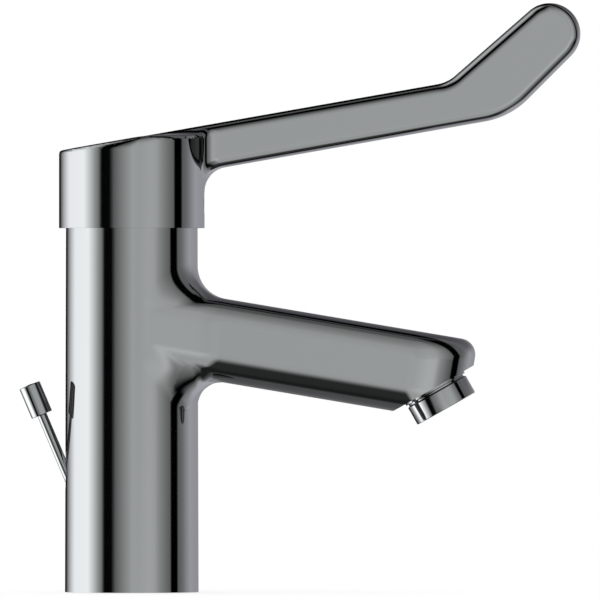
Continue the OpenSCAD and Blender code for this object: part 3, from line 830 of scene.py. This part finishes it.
# Each surface is given by its least and its most roughness
POLISHED = (0.02, 0.05)
LAPPED = (0.08, 0.16)
DRAWN = (0.15, 0.25)
MACHINED = (0.18, 0.3)
SMOOTH = (0.3, 0.45)
MOULDED = (0.35, 0.5)
SATIN = (0.4, 0.5)
MATT = (0.6, 0.8)
print("roughness runs from", POLISHED[0], "to", MATT[1])

# %% Finishes of the record's slots
finishes = {
    "chrome": finish_of("polished_chrome", CHROME, POLISHED, grain=120, metal=1.0),
    "rubber": finish_of("black_rubber", BLACK, MATT, grain=400, bump=0.3),
    "cartridge_shell": finish_of("white_plastic", WARM_WHITE, MOULDED, grain=300, bump=0.1, speck=0.05),
    "cartridge_parts": finish_of("grey_plastic", DARK_GREY, MOULDED, grain=300, bump=0.1, speck=0.1),
    "ceramic": finish_of("lapped_ceramic", CERAMIC, LAPPED, grain=500, speck=0.03),
    "brass": finish_of("machined_brass", BRASS, MACHINED, grain=500, metal=1.0, bump=0.1, speck=0.08),
    "steel": finish_of("bright_steel", STEEL, DRAWN, grain=500, metal=1.0, bump=0.05, speck=0.05),
    "plug": finish_of("plug_plastic", DARK_LILAC, SATIN, grain=300, gloss=0.1),
    "insert": finish_of("nozzle_plastic", PALE_GREY, SMOOTH, grain=400, bump=0.1, speck=0.05),
}


def dress(piece, slot):
    piece.data.materials.clear()
    piece.data.materials.append(finishes[slot])


slot_of = {s["node"]: s["material_slot"] for s in frame["record"]["subparts"]}
for name, node in nodes.items():
    dress(node, slot_of[name])
for piece in (body, lever, aerator, outlet_ring, knob, rod):
    dress(piece, "chrome")
print("finishes:", sorted(finishes))

# %% [markdown]
# ## The studio
# A chromed piece shows its surroundings and little else. An image of a studio could be wrapped round the
# scene, but here the studio is written down by direction, so that each of its panels can be named. Rays
# that come from polished metal see it. The camera sees a plain white wall, and all other rays get plain
# soft light, so that plastic and rubber look as they are.
#
# Two rings of panels stand round the tap, one at the horizon and one where the table is. A bearing of 0
# is on the camera's side, 90 at the right, 180 behind the tap and -90 at the left. A panel's brightness
# is given as the tone that chrome shows under it, from 0 to 255.

# %% Panels round the tap, as pairs of bearing and tone
WALL = [
    # Back wall, with a dark gap at its left end
    (-180, 138), (-172, 138), (-167, 5), (-157, 5),
    # Large soft box at the left
    (-145, 125), (-135, 172), (-117, 232), (-82, 236), (-72, 200), (-60, 140), (-55, 118),
    # Black flag beside it
    (-49, 12), (-46, 3), (-35, 6),
    # Pale wall behind the camera, darker towards the flag
    (-31, 57), (-28, 86), (-14, 124), (-5, 142), (1, 154), (12, 151), (30, 157), (40, 153), (50, 130),
    # Grey wall at the right
    (60, 110), (68, 95), (92, 90), (100, 105), (110, 130),
    # Back wall
    (122, 149), (140, 143), (158, 138), (180, 138),
]
TABLE = [
    # Grey cloth behind
    (-180, 125), (-174, 95), (-168, 78), (-152, 85),
    # Two bright patches at the left, and the shadow between them
    (-135, 200), (-118, 238), (-108, 100), (-98, 48), (-88, 70), (-77, 214), (-66, 160), (-55, 84),
    # Shadow of the flag
    (-48, 4), (-38, 4), (-28, 75), (-18, 38), (-4, 38),
    # Pale cloth on the camera's side
    (3, 148), (20, 150), (31, 126), (44, 102), (54, 84), (61, 52),
    # Dark edge at the right
    (67, 4), (73, 4),
    # Pale cloth behind the edge
    (80, 62), (87, 90), (96, 118), (114, 158), (148, 160), (168, 158), (180, 125),
]
print("places given on wall and table:", len(WALL), len(TABLE))

# %% Light of a tone, and rings of panels
FULL_TONE = 255
CHROME_GIVES = 0.8
# The screen's curve from light to tone: straight at its dark end, then a power
LINE_END, LINE_SLOPE, CURVE_SHIFT, CURVE_POWER = 0.04, 12.92, 0.055, 2.4
FULL_TURN = 360


def light_of(tone):
    """The light that polished metal needs to show a tone."""
    c = tone / FULL_TONE
    if c > LINE_END:
        return ((c + CURVE_SHIFT) / (1 + CURVE_SHIFT)) ** CURVE_POWER / CHROME_GIVES
    return c / LINE_SLOPE / CHROME_GIVES


def turn_of(bearing):
    """A bearing as a share of a full turn, from behind the tap."""
    return bearing * (1 / math.tau) + 0.5


def ring_of(board, bearing, panels):
    stops = [((a + FULL_TURN / 2) / FULL_TURN, light_of(tone)) for a, tone in panels]
    return board.ramp(turn_of(bearing), stops)


class Ray:
    """A ray's direction, as x to the right, y away from the camera, z up, and its bearing in radians."""

    def __init__(self, board):
        split = board.add("SeparateXYZ", {}, {0: board.add("TexCoord", out="Generated")})
        self.x, self.y, self.z = (Wire(board, socket) for socket in split.socket.node.outputs)
        self.bearing = board.maths("ARCTAN2", self.x, 0 - self.y)


def bearings(*degrees):
    return [math.radians(d) for d in degrees]


print("light for the tones 5, 120 and 240:", [round(light_of(tone), 3) for tone in (5, 120, 240)])

# %% [markdown]
# Overhead the walls fade out to a grey ceiling. Below the horizon they glow a little at the right and the
# left, fall darker behind, and pass into the table and then into the dark foot that the table stands on.
# Each change has a soft edge, given by the two places in x, y, z or bearing between which it happens. Two
# shares serve more than one part of the studio: left, for rays that go to the left, and beyond, for those
# that pass the middle of the pale wall to its right.

# %% Above the horizon
NEAR_FADE = [(0, 1.0), (0.57, 0.9), (0.8, 0.66), (0.93, 0.48), (1, 0.36)]
FAR_FADE = [(0, 1.0), (0.28, 0.8), (0.57, 0.63), (0.8, 0.46), (1, 0.4)]
FAR_LEFT_X = (-0.2, -0.6)
FAR_BACK_Y = (-0.1, 0.3)
DIM_BACK_Y = (0.1, 0.5)
DIM_BACK_Z = (0.1, 0.5)
DIM_BACK = 0.5
CEILING_TONE = 76
CEILING_Z = (0.93, 0.99)


def above_horizon(board, ray, wall):
    far = board.maths("MAXIMUM", board.soft(ray.x, FAR_LEFT_X), board.soft(ray.y, FAR_BACK_Y))
    fade = mixed(board.ramp(ray.z, NEAR_FADE), board.ramp(ray.z, FAR_FADE), far)
    dim = board.soft(ray.y, DIM_BACK_Y) * board.soft(ray.z, DIM_BACK_Z)
    walls = wall * fade * (1 - DIM_BACK * dim)
    return mixed(walls, light_of(CEILING_TONE), board.soft(ray.z, CEILING_Z))


print("ceiling:", round(light_of(CEILING_TONE), 3))

# %% Walls below the horizon
RIGHT_GLOW_START = bearings(0, 15)
RIGHT_GLOW_END = bearings(50, 38)
RIGHT_GLOW_Z = (0.05, -0.2)
RIGHT_GLOW_LOW_Z = (-0.12, -0.3)
RIGHT_GLOW = 0.25
LEFT_GLOW_Z = (-0.04, -0.16)
LEFT_GLOW = 0.3
LOW_BACK_X = (0.04, -0.14)
LOW_BACK_Y = (0.3, 0.7)
LOW_BACK_Z = (-0.05, -0.3)
LOW_BACK_DIM = 0.7


def low_walls(board, ray, wall, left, beyond):
    near_right = board.soft(ray.bearing, RIGHT_GLOW_START) * board.soft(ray.bearing, RIGHT_GLOW_END)
    near_right = near_right * (1 - beyond * board.soft(ray.z, RIGHT_GLOW_LOW_Z))
    at_right = near_right * board.soft(ray.z, RIGHT_GLOW_Z) * RIGHT_GLOW
    at_left = left * board.soft(ray.z, LEFT_GLOW_Z) * LEFT_GLOW
    behind = board.soft(ray.y, LOW_BACK_Y) * board.soft(ray.x, LOW_BACK_X) * board.soft(ray.z, LOW_BACK_Z)
    return wall * (at_right + at_left + 1 - behind * LOW_BACK_DIM)


print("glow at right and left:", RIGHT_GLOW, LEFT_GLOW)

# %% Table and foot
TABLE_Z = (-0.17, -0.6)
LEFT_TABLE_Z = (-0.42, -0.7)
EARLY_TABLE = bearings(125, 90)
EARLY_TABLE_Z = (-0.1, -0.3)
# Near the foot the table's panels turn by up to this angle, in radians
TABLE_TURN = 0.4
TABLE_TURN_Z = (-0.68, -0.9)
# In front at the right the foot starts sooner, between these bearings in radians
SOON_START = (0.0, 0.1)
SOON_END = (1.7, 1.2)
SOON_Z = (-0.76, -0.98)
FOOT_TONE, FOOT_BACK_TONE, FOOT_RIGHT_TONE = 27, 72, 135
FOOT_BACK_Y = (-0.15, 0.1)
FOOT_RIGHT_X = (-0.05, 0.12)
FOOT_RIGHT_Y = (0.03, 0.33)
FOOT_Z = (-0.84, -0.94)


def onto_table(board, ray, walls, left, beyond):
    turned_on = beyond * board.soft(ray.z, TABLE_TURN_Z) * TABLE_TURN
    table = ring_of(board, ray.bearing + turned_on, TABLE)
    low = mixed(board.soft(ray.z, TABLE_Z), board.soft(ray.z, LEFT_TABLE_Z), left)
    early = beyond * board.soft(ray.bearing, EARLY_TABLE) * board.soft(ray.z, EARLY_TABLE_Z)
    return mixed(walls, table, board.maths("MAXIMUM", low, early))


def onto_foot(board, ray, table):
    foot = mixed(light_of(FOOT_TONE), light_of(FOOT_BACK_TONE), board.soft(ray.y, FOOT_BACK_Y))
    right = board.soft(ray.x, FOOT_RIGHT_X) * board.soft(ray.y, FOOT_RIGHT_Y)
    foot = mixed(foot, light_of(FOOT_RIGHT_TONE), right)
    soon = board.soft(ray.bearing, SOON_START) * board.soft(ray.bearing, SOON_END)
    soon = soon * board.soft(ray.z, SOON_Z)
    return mixed(table, foot, board.maths("MAXIMUM", board.soft(ray.z, FOOT_Z), soon))


print("tones of the foot:", FOOT_TONE, FOOT_BACK_TONE, FOOT_RIGHT_TONE)

# %% [markdown]
# Three things keep light off the tap. A black strip runs up from the front left to the top. The dark rim
# of a large soft box stands behind at the right, as a ring round the direction to the box. A grey veil
# hangs high in front, at the left. Light that has met the tap twice is dimmed as well, because metal seen
# in metal is mostly the tap's own unlit sides.

# %% Strip, rim and veil
STRIP_X, STRIP_Y, STRIP_SHIFT = -0.766, 0.643, 0.01
STRIP_HALF_W = (0.21, 0.16)
STRIP_NARROWS_Z = (0.85, 0.96)
STRIP_NARROWS = 0.07
STRIP_START_Z = (0.3, 0.6)
STRIP_END_X = (0.06, -0.08)
BACK_BOX = (0.7, 0.65, 0.29)
BACK_BOX_RIM = 0.565
RIM_HALF_W = (0.14, 0.075)
RIM_LOW_Z = (-0.5, -0.3)
RIM_FRONT_Z = (-0.26, -0.12)
RIM_BACK_Y = (0.4, 0.2)
VEIL_RIGHT_X = (0.02, -0.2)
VEIL_LEFT_X = (-0.7, -0.4)
VEIL_Y = (0.1, -0.1)
VEIL_Z = (0.2, 0.9)
VEIL = 0.6


def strip_over(board, ray):
    off = abs(ray.x * STRIP_X + ray.y * STRIP_Y + STRIP_SHIFT)
    off = off + board.soft(ray.z, STRIP_NARROWS_Z) * STRIP_NARROWS
    return board.soft(ray.z, STRIP_START_Z) * board.soft(off, STRIP_HALF_W) * board.soft(ray.x, STRIP_END_X)


def box_rim(board, ray):
    """A ring round the box; below the horizon it runs straight down."""
    level = board.maths("MAXIMUM", ray.z, 0)
    flat = board.maths("SQRT", 1 - level * level)
    stretch = board.maths("DIVIDE", flat, board.maths("SQRT", ray.x * ray.x + ray.y * ray.y))
    to_box = (ray.x * BACK_BOX[0] + ray.y * BACK_BOX[1]) * stretch + level * BACK_BOX[2]
    ring = board.soft(abs(to_box - BACK_BOX_RIM), RIM_HALF_W)
    kept = board.maths("MAXIMUM", board.soft(ray.z, RIM_FRONT_Z), board.soft(ray.y, RIM_BACK_Y))
    return ring * board.soft(ray.z, RIM_LOW_Z) * kept


def veil(board, ray):
    across = board.soft(ray.x, VEIL_RIGHT_X) * board.soft(ray.x, VEIL_LEFT_X)
    return across * board.soft(ray.z, VEIL_Z) * board.soft(ray.y, VEIL_Y) * VEIL


print("the veil takes", VEIL, "of the light")

# %% The whole studio
LEFT_X = (-0.25, -0.5)
BEYOND = bearings(20, 36)
HORIZON_Z = (0.01, -0.01)
MET_ONCE = 1.5
MET_TWICE_DIM = 0.8
# The walls are faintly green in front and faintly lilac behind; places are shares of a full turn
HUES = [
    (0, (0.98, 0.98, 1.02)), (0.3, (0.965, 1, 0.99)), (0.7, (0.965, 1, 0.985)),
    (0.8, (0.98, 0.985, 1.04)), (0.95, (0.98, 0.975, 1.07)),
]


def studio(board):
    ray = Ray(board)
    wall = ring_of(board, ray.bearing, WALL)
    left = board.soft(ray.x, LEFT_X)
    beyond = board.soft(ray.bearing, BEYOND)
    upper = above_horizon(board, ray, wall)
    lower = low_walls(board, ray, wall, left, beyond)
    lower = onto_foot(board, ray, onto_table(board, ray, lower, left, beyond))
    seen = mixed(upper, lower, board.soft(ray.z, HORIZON_Z))
    seen = seen * (1 - strip_over(board, ray)) * (1 - box_rim(board, ray)) * (1 - veil(board, ray))
    twice = board.maths("GREATER_THAN", board.add("LightPath", out="Glossy Depth"), MET_ONCE)
    seen = seen * (1 - MET_TWICE_DIM * twice)
    hue = board.ramp(turn_of(ray.bearing), HUES)
    return board.add("VectorMath", {"operation": "SCALE"}, {0: hue, "Scale": seen})


print("hues round the tap:", len(HUES))

# %% The world: who sees what
WHITE = (1, 1, 1, 1)
FULL_LIGHT = 1.0
SOFT_LIGHT = 0.75


def ray_is(board, kind):
    return board.add("LightPath", out="Is " + kind + " Ray")


world = bpy.data.worlds.new("studio")
world.use_nodes = True
bpy.context.scene.world = world
board = Board(world.node_tree)
metal_sees = board.add("Background", {}, {"Color": studio(board), "Strength": FULL_LIGHT})
soft_light = board.add("Background", {}, {"Color": WHITE, "Strength": SOFT_LIGHT})
white_wall = board.add("Background", {}, {"Color": WHITE, "Strength": FULL_LIGHT})
lit = board.add("MixShader", {}, {0: ray_is(board, "Glossy"), 1: soft_light, 2: metal_sees})
eye = board.maths("MAXIMUM", ray_is(board, "Camera"), ray_is(board, "Transmission"))
board.add("OutputWorld", {}, {"Surface": board.add("MixShader", {}, {0: eye, 1: lit, 2: white_wall})})
print("nodes in the studio:", len(world.node_tree.nodes))

# %% [markdown]
# ## Floor
# The floor is a pale disc at the foot's height. Seen by the camera it is nearly the white of the wall
# and keeps the tap's soft shadow, so no curved backdrop is needed to hide where the two meet. Polished
# metal looks past it at the studio's table, as in the photograph, where the underside of the spout is
# dark.

# %% Floor
FLOOR_R = 1.2
FLOOR_DROP = 0.0002
PALE = (0.9, 0.9, 0.9, 1)
FLOOR_GLOW = 1.25
FLOOR_GLOW_SHARE = 0.6
floor_work = bmesh.new()
bmesh.ops.create_circle(floor_work, cap_ends=True, segments=TURNS, radius=FLOOR_R)
floor_mesh = bpy.data.meshes.new("floor")
floor_work.to_mesh(floor_mesh)
floor_work.free()
floor = add_object("floor", floor_mesh)
floor.location.z = -FLOOR_DROP
floor.visible_glossy = False
floor_finish = bpy.data.materials.new("pale_floor")
floor_finish.use_nodes = True
board = Board(floor_finish.node_tree)
pale = board.add("BsdfDiffuse", {}, {"Color": PALE})
white = board.add("Emission", {}, {"Color": WHITE, "Strength": FLOOR_GLOW})
share = ray_is(board, "Camera") * FLOOR_GLOW_SHARE
board.add("OutputMaterial", {}, {"Surface": board.add("MixShader", {}, {0: share, 1: pale, 2: white})})
floor_mesh.materials.append(floor_finish)
print("floor radius:", FLOOR_R)

# %% [markdown]
# ## Camera
# The photograph is a level side view from far away: the round foot shows no ellipse and both ends of
# the lever have the same scale. A parallel camera would come close, but a long lens a few metres off
# keeps the little perspective that a real one has.

# %% Camera
PHOTO_SIDE = 600
MM_PER_PIXEL = 0.36
FRAME_W = PHOTO_SIDE * MM_PER_PIXEL * MM
LENS = 1200
SENSOR = 36
CLIP_START = 0.1
CLIP_END = 100
MIDDLE = Vector((60.55, 0, 105.1)) * MM
camera_data = bpy.data.cameras.new("camera")
camera_data.lens = LENS
camera_data.sensor_width = SENSOR
camera_data.clip_start = CLIP_START
camera_data.clip_end = CLIP_END
camera = add_object("camera", camera_data)
distance = FRAME_W * LENS / SENSOR
camera.location = MIDDLE - Vector((0, distance, 0))
camera.rotation_euler = (math.pi / 2, 0, 0)
bpy.context.scene.camera = camera
bpy.context.scene.view_settings.view_transform = "Standard"
print("camera distance:", round(distance, 2), "m")
